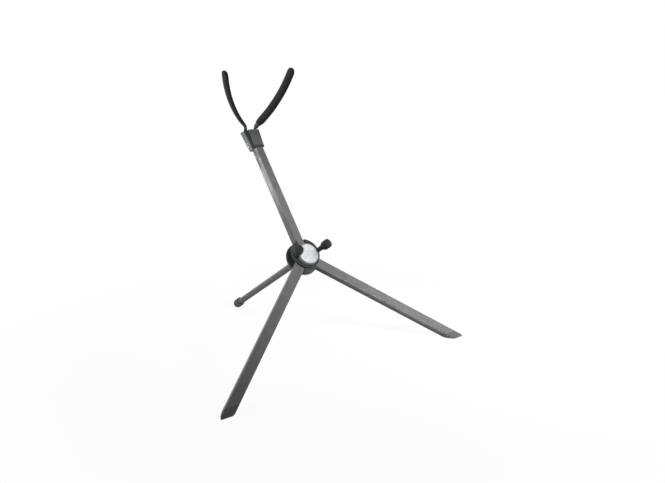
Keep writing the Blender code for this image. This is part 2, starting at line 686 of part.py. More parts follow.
def head_screws(stand):
    """Two screws from behind, through the rear shell into the plug in the arm."""
    start = -HEAD_REAR - GAP
    length = HEAD_REAR + ARM_FACE - ARM_WALL
    places = [(0, up, start) for up in head_screw_heights()]
    forward_screws("head_screw", places, length, stand)


def bracket_screw_places():
    places = []
    for _, side in SIDES:
        places.append((side * BRACKET_SCREW_X, BRACKET_SCREW_UPPER))
        places.append((side * BRACKET_SCREW_X, -BRACKET_SCREW_LOWER))
    return places


def rectangle(width, height, middle):
    """A plain rectangle, its middle at a height up the arm."""
    low = middle - height / 2
    high = middle + height / 2
    return [(-width / 2, low), (width / 2, low), (width / 2, high), (-width / 2, high)]


def rear_bracket(stand):
    """Folded steel bracket on the hub's back, with two ears for the hinge pin."""
    back = BACK_FACE - GAP
    height = BRACKET_TOP + BRACKET_BOTTOM
    middle = (BRACKET_TOP - BRACKET_BOTTOM) / 2
    outline = box_points(BRACKET_WIDTH, height, EAR_THICKNESS, 0, middle, 4)
    base = slab(outline, back - BRACKET_BASE, back)
    bracket = solid("rear_bracket", base, stand, "steel")
    inner = EYE_WIDTH / 2 + GAP
    for _, side in SIDES:
        arc = round_points(EAR_RADIUS, 13, HINGE_RAISE, -HINGE_BACK, math.pi, math.pi)
        foot = back - BRACKET_BASE / 2
        outline = arc + [(HINGE_RAISE + EAR_RADIUS, foot), (HINGE_RAISE - EAR_RADIUS, foot)]
        near = [Vector((side * inner, -b, a)) for a, b in outline]
        far = [Vector((side * (inner + EAR_THICKNESS), -b, a)) for a, b in outline]
        cut(bracket, loft([near, far]), operation="UNION")
    wide = 2 * (inner + EAR_THICKNESS)
    top = HINGE_RAISE - EYE_RADIUS / math.cos(REAR_RISE) - GAP
    low = top - LIP_THICKNESS
    middle = (top + low) / 2
    outline = rectangle(wide, LIP_THICKNESS, middle)
    ledge = slab(outline, -HINGE_BACK - LIP_LENGTH, back - BRACKET_BASE / 2)
    cut(bracket, ledge, operation="UNION")
    reach = BRACKET_WIDTH
    bore = peg_of(HINGE_PIN_RADIUS + RUNNING, -reach, reach)
    cut(bracket, bore, at(0, HINGE_RAISE, -HINGE_BACK), ACROSS)
    for x, up in bracket_screw_places():
        hole = round_points(SMALL_SCREW_RADIUS + GAP, 12, x, up)
        cut(bracket, slab(hole, back - 2 * BRACKET_BASE, 0))
    places = [(x, up, back - BRACKET_BASE - GAP) for x, up in bracket_screw_places()]
    length = SMALL_SCREW_DEPTH + BRACKET_BASE + GAP
    forward_screws("bracket_screw", places, length, stand)
    half = inner + EAR_THICKNESS + GAP
    rise = HINGE_HEAD_HEIGHT
    head = HINGE_HEAD_RADIUS
    profile = [(0, -half - rise), (head * 0.8, -half - rise), (head, -half - rise * 0.5), (head, -half),
               (HINGE_PIN_RADIUS, -half), (HINGE_PIN_RADIUS, half), (head, half),
               (head, half + rise * 0.5), (head * 0.8, half + rise), (0, half + rise)]
    place = at(0, HINGE_RAISE, -HINGE_BACK)
    solid("rear_hinge_pin", turned(profile, 16), stand, "steel", place, ACROSS)


def rear_end():
    """Hinge pin to the tip of the rear foot, so that its round edge stands on the floor."""
    slope = math.asin(-rear_direction().dot(UP))
    height = HUB_HEIGHT + at(0, HINGE_RAISE, -HINGE_BACK).dot(UP)
    ring = REAR_FOOT_RADIUS - REAR_FOOT_EDGE
    return REAR_FOOT_EDGE + (height - ring * math.cos(slope) - REAR_FOOT_EDGE) / math.sin(slope)


def rear_direction():
    return Vector((0, math.cos(REAR_RISE), math.sin(REAR_RISE)))


def rear_leg(stand):
    """Round aluminium tube on an eye, with a rubber foot pushed over its end."""
    place = at(0, HINGE_RAISE, -HINGE_BACK)
    frame = empty("rear_leg_pivot", stand, place, (REAR_RISE - math.pi / 2, 0, 0))
    tip = rear_end()
    end = tip - REAR_FOOT_FLOOR
    rod = ring_of(ROD_RADIUS - ROD_WALL, ROD_RADIUS, ROD_START, end, 28)
    solid("rear_leg_tube", rod, frame, "anodised")
    arc = round_points(EYE_RADIUS, 17, 0, 0, math.pi, math.pi)
    outline = arc + [(EYE_RADIUS, ROD_START - GAP), (-EYE_RADIUS, ROD_START - GAP)]
    half = EYE_WIDTH / 2
    eye = loft([[(-half, a, b) for a, b in outline], [(half, a, b) for a, b in outline]])
    knuckle = solid("rear_leg_eye", eye, frame, "nylon")
    spigot = ROD_RADIUS - ROD_WALL - GAP
    bar = peg_of(spigot, ROD_START - EYE_RADIUS / 2, ROD_START + SPIGOT_LENGTH)
    cut(knuckle, bar, operation="UNION")
    bore = peg_of(HINGE_PIN_RADIUS + RUNNING, -EYE_WIDTH, EYE_WIDTH)
    cut(knuckle, bore, (0, 0, 0), ACROSS)
    mouth = tip - REAR_FOOT_LENGTH
    edge = REAR_FOOT_EDGE
    profile = [(ROD_RADIUS + GAP, mouth), (REAR_FOOT_RADIUS - edge * 0.2, mouth),
               (REAR_FOOT_RADIUS, mouth + edge * 0.3)]
    for i in range(5):
        turn = math.pi / 2 * i / 4
        ring = REAR_FOOT_RADIUS - edge
        profile.append((ring + edge * math.cos(turn), tip - edge + edge * math.sin(turn)))
    profile += [(0, tip), (0, end + GAP), (ROD_RADIUS + GAP, end + GAP)]
    solid("rear_leg_foot", turned(profile, 28, True), frame, "rubber")


def fork_root(side):
    return at(side * FORK_SPACING / 2, FORK_BASE, FORK_FORWARD)


def fork_point(length):
    """Place (x, z) and slope at a length up a fork arm: one arc flares out, the next turns back."""
    bend = (FORK_FLARE - FORK_START) / FORK_FLARE_LENGTH
    slope = FORK_START + bend * min(length, FORK_FLARE_LENGTH)
    x = (math.cos(FORK_START) - math.cos(slope)) / bend
    z = (math.sin(slope) - math.sin(FORK_START)) / bend
    if length > FORK_FLARE_LENGTH:
        bend = (FORK_END - FORK_FLARE) / FORK_SWEEP_LENGTH
        slope = FORK_FLARE + bend * (length - FORK_FLARE_LENGTH)
        x += (math.cos(FORK_FLARE) - math.cos(slope)) / bend
        z += (math.sin(slope) - math.sin(FORK_FLARE)) / bend
    return x, z, slope


def spread(start, end, count):
    """Evenly spaced lengths, both ends included."""
    return [start + (end - start) * i / count for i in range(count + 1)]


def oval(x, z, slope, thick, wide, side, count=16):
    """An oval ring square to the arm: thick in the fork's plane, wide across it."""
    ring = []
    for i in range(count):
        a = 2 * math.pi * i / count
        off = thick / 2 * math.cos(a)
        far = side * (x + off * math.cos(slope))
        ring.append((far, wide / 2 * math.sin(a), z - off * math.sin(slope)))
    return ring


def blend(low, high, share):
    share = max(0.0, min(1.0, share))
    share = share * share * (3 - 2 * share)
    return low + (high - low) * share


def fork_arm(stand, side_name, side):
    """Steel bar, round in the head and forged flat above it, in a soft sleeve; it turns in the head."""
    frame = empty(side_name + "_fork_pivot", stand, fork_root(side), (FORK_PITCH, 0, 0))
    shank = 2 * SHANK_RADIUS
    rings = [oval(0, -SHANK_DEPTH, 0, shank, shank, side), oval(0, 0, 0, shank, shank, side)]
    for length in spread(SHANK_COLLAR, SHANK_COLLAR + FORGE_LENGTH, 3):
        flat = (length - SHANK_COLLAR) / FORGE_LENGTH
        thick = blend(shank, STRIP_THICKNESS, flat)
        rings.append(oval(*fork_point(length), thick, blend(shank, STRIP_WIDTH, flat), side))
    for length in spread(SHANK_COLLAR + FORGE_LENGTH, FORK_LENGTH - SLEEVE_TIP, FORK_STEPS)[1:]:
        rings.append(oval(*fork_point(length), STRIP_THICKNESS, STRIP_WIDTH, side))
    bar = solid(side_name + "_fork_arm", loft(rings), frame, "steel")
    cut(bar, peg_of(SMALL_SCREW_RADIUS + GAP, -SHANK_DEPTH * 2, -SHANK_DEPTH / 2))
    sleeve(frame, side_name, side)
    screw = screw_body(SHANK_SEAT + SHANK_DEPTH / 2)
    solid(side_name + "_fork_screw", screw, frame, "steel", (0, 0, -SHANK_DEPTH - SHANK_SEAT - 2 * GAP))


def tip_steps(radius):
    """Distances back from a half-round tip, closer together towards it."""
    return [radius * (1 - math.sin(math.radians(a))) for a in (0, 22, 42, 60, 75, 86)]


def rounded_end(full, back):
    """Width of a half-round end at a distance back from its tip."""
    radius = full / 2
    if back >= radius:
        return full
    return 2 * math.sqrt(radius ** 2 - (radius - back) ** 2)


def sleeve(frame, side_name, side):
    """Soft oval sleeve, open at the head's end and round at the tip."""
    bore_thick = STRIP_THICKNESS + 2 * GAP
    bore_wide = STRIP_WIDTH + 2 * GAP
    outer = []
    for length in spread(STRIP_NECK, FORK_LENGTH - SLEEVE_WIDTH / 2, FORK_STEPS)[:-1]:
        wide = blend(bore_wide + 2 * SLEEVE_LIP, SLEEVE_WIDTH, (length - STRIP_NECK) / SLEEVE_TAPER)
        outer.append(oval(*fork_point(length), SLEEVE_THICKNESS, wide, side))
    for back in tip_steps(SLEEVE_WIDTH / 2):
        wide = rounded_end(SLEEVE_WIDTH, back)
        thick = rounded_end(SLEEVE_THICKNESS, back)
        outer.append(oval(*fork_point(FORK_LENGTH - back), thick, wide, side))
    inner = []
    for length in spread(STRIP_NECK, FORK_LENGTH - SLEEVE_TIP + GAP, FORK_STEPS):
        inner.append(oval(*fork_point(length), bore_thick, bore_wide, side))
    solid(side_name + "_fork_sleeve", loft(list(reversed(outer)) + inner), frame, "rubber")


def stand_on_floor(stand):
    """Put the lowest point on the floor and the middle of the footprint over the origin."""
    bpy.context.view_layer.update()
    low_y = high_y = None
    for item in bpy.data.objects:
        if item.type != "MESH" or item.hide_render:
            continue
        for corner in item.data.vertices:
            y = (item.matrix_world @ corner.co).y
            low_y = y if low_y is None else min(low_y, y)
            high_y = y if high_y is None else max(high_y, y)
    stand.location.y -= (low_y + high_y) / 2
    bpy.context.view_layer.update()


def build():
    clear_scene()
    stand = empty("stand_frame", None, (0, 0, HUB_HEIGHT), (-LEAN, 0, 0))
    back_plate(stand)
    stop_web(stand)
    front_plate(stand)
    leg_pins(stand)
    centre_bolt(stand)
    pegs(stand)
    cap_and_badge(stand)
    for side_name, side in SIDES:
        flat_leg(stand, side_name, side)
    arm(stand)
    head_shells(stand)
    head_screws(stand)
    rear_bracket(stand)
    rear_leg(stand)
    for side_name, side in SIDES:
        fork_arm(stand, side_name, side)
    stand_on_floor(stand)


build()
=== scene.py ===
"""Folding alto saxophone stand: the finish of every piece, the light and the view."""

import json
import math

import bmesh
import bpy
from mathutils import Matrix, Vector


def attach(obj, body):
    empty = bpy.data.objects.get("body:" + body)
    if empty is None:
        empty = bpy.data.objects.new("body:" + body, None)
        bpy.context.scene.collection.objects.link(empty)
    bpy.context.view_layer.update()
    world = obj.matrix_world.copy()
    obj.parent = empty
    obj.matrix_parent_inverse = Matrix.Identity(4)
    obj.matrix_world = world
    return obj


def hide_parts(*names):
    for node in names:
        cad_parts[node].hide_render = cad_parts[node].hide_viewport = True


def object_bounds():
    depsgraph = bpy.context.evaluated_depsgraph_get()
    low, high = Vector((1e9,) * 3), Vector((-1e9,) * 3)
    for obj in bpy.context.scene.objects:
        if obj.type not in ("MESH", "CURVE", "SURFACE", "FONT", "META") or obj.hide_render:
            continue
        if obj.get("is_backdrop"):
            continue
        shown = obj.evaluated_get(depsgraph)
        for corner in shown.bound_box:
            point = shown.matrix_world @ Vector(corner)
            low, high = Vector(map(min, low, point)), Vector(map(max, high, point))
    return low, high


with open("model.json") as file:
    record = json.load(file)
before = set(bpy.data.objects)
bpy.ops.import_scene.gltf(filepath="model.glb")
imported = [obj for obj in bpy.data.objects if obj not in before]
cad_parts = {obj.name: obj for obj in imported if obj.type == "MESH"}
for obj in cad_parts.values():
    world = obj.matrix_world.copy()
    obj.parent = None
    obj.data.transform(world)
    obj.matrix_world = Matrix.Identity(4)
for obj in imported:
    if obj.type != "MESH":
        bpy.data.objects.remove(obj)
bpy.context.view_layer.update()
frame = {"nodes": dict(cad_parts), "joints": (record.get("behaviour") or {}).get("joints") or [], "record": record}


# View
# The plane of the arm and the flat legs leans back, and pieces are placed in it as
# at(x, up, forward): across, up the arm and out of its front, from the middle of the hub.
# The camera stands at the photograph's angle, to the left of the stand's front and above it.
MM = 0.001
LEAN = math.radians(40.0)
HUB_HEIGHT = 138.14 * MM
VIEW_AZIMUTH = math.radians(-37.39)
VIEW_ELEVATION = math.radians(16.26)
VIEW_DISTANCE = 1093.3 * MM
VIEW_RIGHT = 41.45 * MM
VIEW_UP = 22.55 * MM
PHOTO_WIDTH = 665
FOCAL_PIXELS = 753.1
SENSOR = 36.0

pivots = {joint["name"]: Vector(joint["pos_m"]) for joint in frame["joints"]}
up_arm = Vector((0.0, math.sin(LEAN), math.cos(LEAN)))
between_pins = (pivots["left_leg_fold"] + pivots["right_leg_fold"]) / 2
hub_centre = between_pins + up_arm * (HUB_HEIGHT - between_pins.z) / math.cos(LEAN)
hub_frame = Matrix.Translation(hub_centre) @ Matrix.Rotation(-LEAN, 4, "X")
forward_way = -(hub_frame.to_3x3() @ Vector((0, 1, 0)))


def at(x, up, forward):
    return hub_frame @ Vector((x, -forward, up))


back_way = Vector((math.sin(VIEW_AZIMUTH) * math.cos(VIEW_ELEVATION),
                   -math.cos(VIEW_AZIMUTH) * math.cos(VIEW_ELEVATION),
                   math.sin(VIEW_ELEVATION)))
right_way = Vector((math.cos(VIEW_AZIMUTH), math.sin(VIEW_AZIMUTH), 0.0))
over_way = back_way.cross(right_way)
camera = bpy.data.objects.new("camera", bpy.data.cameras.new("camera"))
bpy.context.scene.collection.objects.link(camera)
turn = Matrix((right_way, over_way, back_way)).transposed().to_4x4()
place = hub_centre + right_way * VIEW_RIGHT + over_way * VIEW_UP + back_way * VIEW_DISTANCE
camera.matrix_world = Matrix.Translation(place) @ turn
camera.data.sensor_width = SENSOR
camera.data.lens = FOCAL_PIXELS * SENSOR / PHOTO_WIDTH
bpy.context.scene.camera = camera
bpy.context.scene.view_settings.view_transform = "Standard"


# Hub plates
# A back plate and a black front plate of glass-filled nylon, bolted together through the arm, with a
# grey nylon web between the legs. The back plate's dark nylon is painted lighter, to charcoal, as fill
# light for its face in the front plate's shade. The mould's small radii break every edge.
PLATE_EDGE = 0.5 * MM
WEB_EDGE = 0.3 * MM
NODE_WELD = 0.002 * MM               # corners of a node's flat faces that fall together
FLAT = math.radians(1.0)             # node faces that bend less than this are one face
SHARP = math.radians(32.0)           # a bend that stays a crisp edge
EDGE_STEPS = 3                       # facets across a rounded edge
CORNER_STEPS = 5                     # facets across a wider rounded corner


def linear(code):
    """An sRGB hex colour as linear red, green, blue and alpha."""
    values = []
    for i in (0, 2, 4):
        v = int(code[i:i + 2], 16) / 255
        values.append(v / 12.92 if v <= 0.04045 else ((v + 0.055) / 1.055) ** 2.4)
    return (*values, 1.0)


def add(tree, kind, settings=None, **links):
    """One node, with its settings, and its inputs linked or set by name or, as i0, by number."""
    node = tree.nodes.new(kind)
    for key, value in (settings or {}).items():
        setattr(node, key, value)
    for key, value in links.items():
        number = key[1:]
        socket = node.inputs[int(number)] if number.isdigit() else node.inputs[key.replace("_", " ")]
        if isinstance(value, bpy.types.NodeSocket):
            tree.links.new(value, socket)
        else:
            socket.default_value = value
    return node


def blank(name):
    """A material with no nodes in it yet."""
    made = bpy.data.materials.new(name)
    made.use_nodes = True
    made.node_tree.nodes.clear()
    return made, made.node_tree


def scale_for(size_mm):
    """A texture's scale for a pattern whose features are this many millimetres apart."""
    return 1000 / size_mm


def cloudy(tree, place, size_mm, dark, light):
    """A colour that drifts between two hex values, in patches of about the given size."""
    cloud = add(tree, "ShaderNodeTexNoise", Vector=place, Scale=scale_for(size_mm), Detail=3.0)
    # Most of the noise lies between 0.3 and 0.7
    share = add(tree, "ShaderNodeMapRange", i0=cloud.outputs["Fac"], i1=0.3, i2=0.7)
    return add(tree, "ShaderNodeMix", {"data_type": "RGBA"}, i0=share.outputs[0],
               i6=linear(dark), i7=linear(light)).outputs[2]


def moulded_nylon(name, dark, light):
    """Nylon from an eroded mould: a fine even grain, satin, its shine varying a little with the grain."""
    made, tree = blank(name)
    place = add(tree, "ShaderNodeTexCoord").outputs["Object"]
    tone = cloudy(tree, place, 9.0, dark, light)
    # The mould's grain is about 0.1 mm; drawn at 0.45 mm so that it shows
    grain = add(tree, "ShaderNodeTexNoise", Vector=place, Scale=scale_for(0.45), Detail=3.0)
    rough = add(tree, "ShaderNodeMapRange", i0=grain.outputs["Fac"], i3=0.46, i4=0.60)
    bump = add(tree, "ShaderNodeBump", Strength=0.18, Distance=0.05 * MM,
               Height=grain.outputs["Fac"])
    shader = add(tree, "ShaderNodeBsdfPrincipled", Base_Color=tone, IOR=1.53,
                 Roughness=rough.outputs[0], Normal=bump.outputs[0])
    shader.inputs["Specular IOR Level"].default_value = 0.4
    add(tree, "ShaderNodeOutputMaterial", Surface=shader.outputs[0])
    return made


def keep(name, mesh, material, body, node, transform):
    """A finished piece from a bmesh; it stands for its node and rides on that node's body."""
    bmesh.ops.recalc_face_normals(mesh, faces=mesh.faces)
    data = bpy.data.meshes.new(name)
    mesh.to_mesh(data)
    mesh.free()
    data.transform(transform)
    data.shade_smooth()
    data.set_sharp_from_angle(angle=SHARP)
    data.materials.append(material)
    piece = bpy.data.objects.new(name, data)
    bpy.context.scene.collection.objects.link(piece)
    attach(piece, body)
    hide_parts(node)
    return piece


def body_of(node):
    bodies = frame["record"]["behaviour"]["bodies"]
    return next(body for body, members in bodies.items() if node in members)


def softened(node, name, width, material, corner=0.0, chosen=None, blunt=None):
    """A node's shape, its flat faces made whole again, its edges and any chosen corners rounded.

    blunt is the place and the outward way of a plane that takes a sharp nose off.
    """
    mesh = bmesh.new()
    mesh.from_mesh(frame["nodes"][node].data)
    bmesh.ops.remove_doubles(mesh, verts=mesh.verts, dist=NODE_WELD)
    if blunt:
        cut = bmesh.ops.bisect_plane(mesh, geom=mesh.verts[:] + mesh.edges[:] + mesh.faces[:],
                                     plane_co=blunt[0], plane_no=blunt[1], clear_outer=True)
        rim = [item for item in cut["geom_cut"] if isinstance(item, bmesh.types.BMEdge)]
        bmesh.ops.contextual_create(mesh, geom=rim)
    bmesh.ops.dissolve_limit(mesh, angle_limit=FLAT, verts=mesh.verts, edges=mesh.edges)
    if corner:
        edges = [edge for edge in mesh.edges if edge.is_manifold and chosen(edge)]
        bmesh.ops.bevel(mesh, geom=edges, offset=corner, segments=CORNER_STEPS, profile=0.5, affect="EDGES")
    piece = keep(name, mesh, material, body_of(node), node, Matrix.Identity(4))
    edges = piece.modifiers.new("edges", "BEVEL")
    edges.width = width
    edges.segments = EDGE_STEPS
    edges.limit_method = "ANGLE"
    edges.angle_limit = SHARP
    edges.use_clamp_overlap = True
    edges.harden_normals = True
    return piece


black_nylon = moulded_nylon("glass_filled_nylon_black", "1d1f20", "262829")
# Painted fill light: the back plate's nylon is lifted to charcoal because its face lies in shade.
shade_lifted_plate_nylon = moulded_nylon("nylon_charcoal_painted_fill_light", "58595b", "626365")
web_nylon = moulded_nylon("moulded_nylon_dark_grey", "3c3e40", "454749")
softened("hub_back_plate", "hub_back", PLATE_EDGE, shade_lifted_plate_nylon)
softened("hub_front_plate", "hub_front", PLATE_EDGE, black_nylon)
softened("leg_stop_web", "hub_web", WEB_EDGE, web_nylon)


# Cap and disc
# The cap is moulded grey nylon, pressed over the bolt. The disc in it is bright aluminium, faced
# on a lathe, which leaves fine rings and a dimple in the middle.
CAP_EDGE = 0.45 * MM
DISC_RINGS = (0.28, 0.52, 0.74, 0.90)     # shares of its radius where the tool stepped
DISC_STEP = 0.07 * MM
DISC_GROOVE = 0.35 * MM
DISC_ROUND = 0.28 * MM
DISC_DIMPLE = 1.1 * MM
DIMPLE_STEPS = ((1, 0), (0.5, 2), (0, 3))     # shares of its radius, and depths in tool steps
DRAWN_FEED = 0.7 * MM                # between two of the lathe's marks, as drawn

cap_nylon = moulded_nylon("moulded_nylon_grey", "8c8e91", "96989b")
softened("hub_cap", "cap", CAP_EDGE, cap_nylon)


def hub_box(node):
    """Lowest and highest (x, up, forward) of a node in the hub's frame."""
    inward = hub_frame.inverted()
    points = [inward @ corner.co for corner in frame["nodes"][node].data.vertices]
    places = [(p.x, p.z, -p.y) for p in points]
    return [min(axis) for axis in zip(*places)], [max(axis) for axis in zip(*places)]


def spun(profile, count, ring=False):
    """A closed body turned about z from (radius, height) points; ring joins the last to the first."""
    mesh = bmesh.new()
    rings = []
    for radius, height in profile:
        if radius <= 0:
            rings.append([mesh.verts.new((0.0, 0.0, height))] * count)
            continue
        angles = [2 * math.pi * i / count for i in range(count)]
        rings.append([mesh.verts.new((radius * math.cos(a), radius * math.sin(a), height)) for a in angles])
    pairs = list(zip(rings[:-1], rings[1:]))
    if ring:
        pairs.append((rings[-1], rings[0]))
    for lower, upper in pairs:
        if lower[0] is lower[1] and upper[0] is upper[1]:
            continue
        for i in range(count):
            j = (i + 1) % count
            mesh.faces.new(list(dict.fromkeys((lower[i], lower[j], upper[j], upper[i]))))
    return mesh


def arc(radius, x, height, start, end, steps=5):
    """Points of a rounding, between two angles in degrees."""
    turns = [math.radians(start + (end - start) * i / steps) for i in range(steps + 1)]
    return [(x + radius * math.cos(a), height + radius * math.sin(a)) for a in turns]


def along(start, way):
    """Puts a turned piece's foot at start and its z along way."""
    return Matrix.Translation(start) @ way.to_track_quat("Z", "Y").to_matrix().to_4x4()


def turned_aluminium(centre):
    """Aluminium faced on a lathe: bright, with rings that catch the light one by one."""
    made, tree = blank("turned_bright_aluminium")
    place = add(tree, "ShaderNodeTexCoord").outputs["Object"]
    local = add(tree, "ShaderNodeVectorMath", {"operation": "SUBTRACT"}, i0=place, i1=tuple(centre))
    radius = add(tree, "ShaderNodeVectorMath", {"operation": "LENGTH"}, i0=local.outputs[0])
    # The feed leaves marks about 0.1 mm apart; drawn further apart so that they show
    marks = add(tree, "ShaderNodeMath", {"operation": "MULTIPLY"}, i0=radius.outputs["Value"],
                i1=2 * math.pi / DRAWN_FEED)
    wave = add(tree, "ShaderNodeMath", {"operation": "SINE"}, i0=marks.outputs[0])
    smear = cloudy(tree, place, 3.2, "c8c9ca", "e3e4e5")
    bands = add(tree, "ShaderNodeMapRange", i0=wave.outputs[0], i1=-1.0, i2=1.0, i3=0.90, i4=1.0)
    tone = add(tree, "ShaderNodeMix", {"data_type": "RGBA", "blend_type": "MULTIPLY"}, i0=1.0,
               i6=smear, i7=bands.outputs[0]).outputs[2]
    rough = add(tree, "ShaderNodeMapRange", i0=wave.outputs[0], i1=-1.0, i2=1.0, i3=0.40, i4=0.52)
    bump = add(tree, "ShaderNodeBump", Strength=0.25, Distance=0.02 * MM, Height=wave.outputs[0])
    shader = add(tree, "ShaderNodeBsdfPrincipled", Base_Color=tone, Metallic=0.85,
                 Roughness=rough.outputs[0], Normal=bump.outputs[0])
    add(tree, "ShaderNodeOutputMaterial", Surface=shader.outputs[0])
    return made


low, high = hub_box("badge_disc")
disc_radius = (high[0] - low[0]) / 2
disc_middle = (low[1] + high[1]) / 2
disc_face = high[2] - low[2]
profile = [(0, 0), (disc_radius, 0)]
profile += arc(DISC_ROUND, disc_radius - DISC_ROUND, disc_face - DISC_ROUND, 0, 90)
for share in reversed(DISC_RINGS):
    middle = disc_radius * share
    profile += [(middle + DISC_GROOVE, disc_face), (middle, disc_face - DISC_STEP),
                (middle - DISC_GROOVE, disc_face)]
profile += [(DISC_DIMPLE * share, disc_face - DISC_STEP * depth) for share, depth in DIMPLE_STEPS]
disc_place = at(0, disc_middle, low[2])
bright = turned_aluminium(at(0, disc_middle, high[2]))
keep("disc", spun(profile, count=96), bright, "hub_and_arm", "badge_disc",
     along(disc_place, forward_way))


# Pegs
# Moulded black rubber sleeves, pushed over steel studs that are screwed into the front plate.
# Each has a slim neck, a fat head with a moulding line round it, and a shallow gate mark.
PEG_NECK = 3.4 * MM
PEG_HEAD = 6.7 * MM
PEG_HEAD_LENGTH = 13.0 * MM
PEG_FLARE = 9.0 * MM
FLARE_STEPS = 12
PEG_BORE = 2.3 * MM
PEG_ROUND = 2.2 * MM
PEG_FOOT_BEAD = 0.45 * MM
PEG_LINE = 0.14 * MM                 # depth of the moulding line
PEG_LINE_REACH = 2 * PEG_LINE        # half its width
PEG_DIMPLE = 1.5 * MM
PEG_DIMPLE_FLOOR = 0.6 * PEG_DIMPLE
PEG_DIMPLE_DEPTH = 2 * PEG_LINE
PEG_COVER = 3.7 * MM                 # rubber past the end of the stud


def moulded_rubber(name, dark, light, rough_low=0.55, rough_high=0.72):
    """Rubber from a blasted mould: matt, evenly grained, with slightly dusty patches."""
    made, tree = blank(name)
    place = add(tree, "ShaderNodeTexCoord").outputs["Object"]
    tone = cloudy(tree, place, 7.0, dark, light)
    # The blasted grain is about 0.15 mm; drawn at 0.5 mm
    grain = add(tree, "ShaderNodeTexNoise", Vector=place, Scale=scale_for(0.5), Detail=3.0)
    rough = add(tree, "ShaderNodeMapRange", i0=grain.outputs["Fac"], i3=rough_low, i4=rough_high)
    bump = add(tree, "ShaderNodeBump", Strength=0.20, Distance=0.06 * MM, Height=grain.outputs["Fac"])
    shader = add(tree, "ShaderNodeBsdfPrincipled", Base_Color=tone, IOR=1.52,
                 Roughness=rough.outputs[0], Normal=bump.outputs[0])
    shader.inputs["Specular IOR Level"].default_value = 0.3
    add(tree, "ShaderNodeOutputMaterial", Surface=shader.outputs[0])
    return made


def span(node, start, way):
    """Lowest and highest reach of a node along a line, and its largest distance from it."""
    heights = []
    widest = 0.0
    for corner in frame["nodes"][node].data.vertices:
        step = corner.co - start
        heights.append(step.dot(way))
        widest = max(widest, (step - way * step.dot(way)).length)
    return min(heights), max(heights), widest


def long_axis(node):
    """Middle of a long round node, and the direction from its rear end to its front end."""
    points = [corner.co for corner in frame["nodes"][node].data.vertices]
    ahead = sorted(points, key=lambda p: p.dot(forward_way))
    half = len(ahead) // 2
    rear = sum(ahead[:half], Vector()) / half
    front = sum(ahead[-half:], Vector()) / half
    return (rear + front) / 2, (front - rear).normalized()


peg_rubber = moulded_rubber("moulded_rubber_black", "191a1b", "232526")
for side_name in ("left", "right"):
    middle, way = long_axis(side_name + "_peg_stud")
    foot, tip, _ = span(side_name + "_peg_rubber", middle, way)
    stud_end = tip - PEG_COVER
    shoulder = tip - PEG_HEAD_LENGTH
    line = shoulder + PEG_HEAD_LENGTH / 2
    profile = [(PEG_BORE, foot), (PEG_NECK, foot)]
    profile += arc(PEG_FOOT_BEAD, PEG_NECK, foot + PEG_FOOT_BEAD, -90, 90)
    for i in range(1, FLARE_STEPS):
        turn = math.pi * i / FLARE_STEPS
        swell = (PEG_HEAD - PEG_NECK) * (1 - math.cos(turn)) / 2
        profile.append((PEG_NECK + swell, shoulder + PEG_FLARE * (i / FLARE_STEPS - 0.5)))
    profile += [(PEG_HEAD, shoulder + PEG_FLARE / 2), (PEG_HEAD, line - PEG_LINE_REACH),
                (PEG_HEAD - PEG_LINE, line), (PEG_HEAD, line + PEG_LINE_REACH)]
    profile += arc(PEG_ROUND, PEG_HEAD - PEG_ROUND, tip - PEG_ROUND, 0, 90, steps=8)
    profile += [(PEG_DIMPLE, tip), (PEG_DIMPLE_FLOOR, tip - PEG_DIMPLE_DEPTH),
                (0, tip - PEG_DIMPLE_DEPTH), (0, stud_end), (PEG_BORE, stud_end)]
    keep(side_name + "_peg", spun(profile, count=48, ring=True), peg_rubber, "hub_and_arm",
         side_name + "_peg_rubber", along(middle, way))


# Arm
# Half-inch square aluminium extrusion, blasted and anodised dark grey, cut to length and clamped
# in the hub by the centre bolt. A nylon plug fills each end.
TUBE_EDGE = 0.4 * MM
DRAW_STRETCH = 80                    # a draw line's length for its width


def anodised(name, way):
    """Blasted and dyed anodising: satin grey, a fine grain over faint draw lines along the tube."""
    made, tree = blank(name)
    place = add(tree, "ShaderNodeTexCoord").outputs["Object"]
    turned = add(tree, "ShaderNodeMapping", {"vector_type": "POINT"}, Vector=place,
                 Rotation=way.to_track_quat("Z", "Y").inverted().to_euler()).outputs[0]
    # Draw lines are about 0.05 mm apart; drawn at 0.6 mm
    drawn = add(tree, "ShaderNodeMapping", {"vector_type": "POINT"}, Vector=turned,
                Scale=(1.0, 1.0, 1 / DRAW_STRETCH)).outputs[0]
    lines = add(tree, "ShaderNodeTexNoise", Vector=drawn, Scale=scale_for(0.6), Detail=2.0)
    # The blasted grain is about 0.1 mm; drawn at 0.4 mm
    grain = add(tree, "ShaderNodeTexNoise", Vector=place, Scale=scale_for(0.4), Detail=2.0)
    tone = cloudy(tree, place, 14.0, "7e7e7f", "888889")
    streak = add(tree, "ShaderNodeMapRange", i0=lines.outputs["Fac"], i1=0.35, i2=0.65,
                 i3=0.92, i4=1.05)
    colour = add(tree, "ShaderNodeMix", {"data_type": "RGBA", "blend_type": "MULTIPLY"}, i0=1.0,
                 i6=tone, i7=streak.outputs[0]).outputs[2]
    rough = add(tree, "ShaderNodeMapRange", i0=grain.outputs["Fac"], i3=0.44, i4=0.56)
    low_bump = add(tree, "ShaderNodeBump", Strength=0.12, Distance=0.04 * MM,
                   Height=lines.outputs["Fac"])
    bump = add(tree, "ShaderNodeBump", Strength=0.22, Distance=0.05 * MM, Height=grain.outputs["Fac"],
               Normal=low_bump.outputs[0])
    shader = add(tree, "ShaderNodeBsdfPrincipled", Base_Color=colour, Metallic=0.05,
                 Roughness=rough.outputs[0], Normal=bump.outputs[0])
    shader.inputs["Specular IOR Level"].default_value = 0.2
    add(tree, "ShaderNodeOutputMaterial", Surface=shader.outputs[0])
    return made


def paint(node, material):
    """A finish for a node that keeps its own shape."""
    slots = frame["nodes"][node].data.materials
    slots.clear()
    slots.append(material)


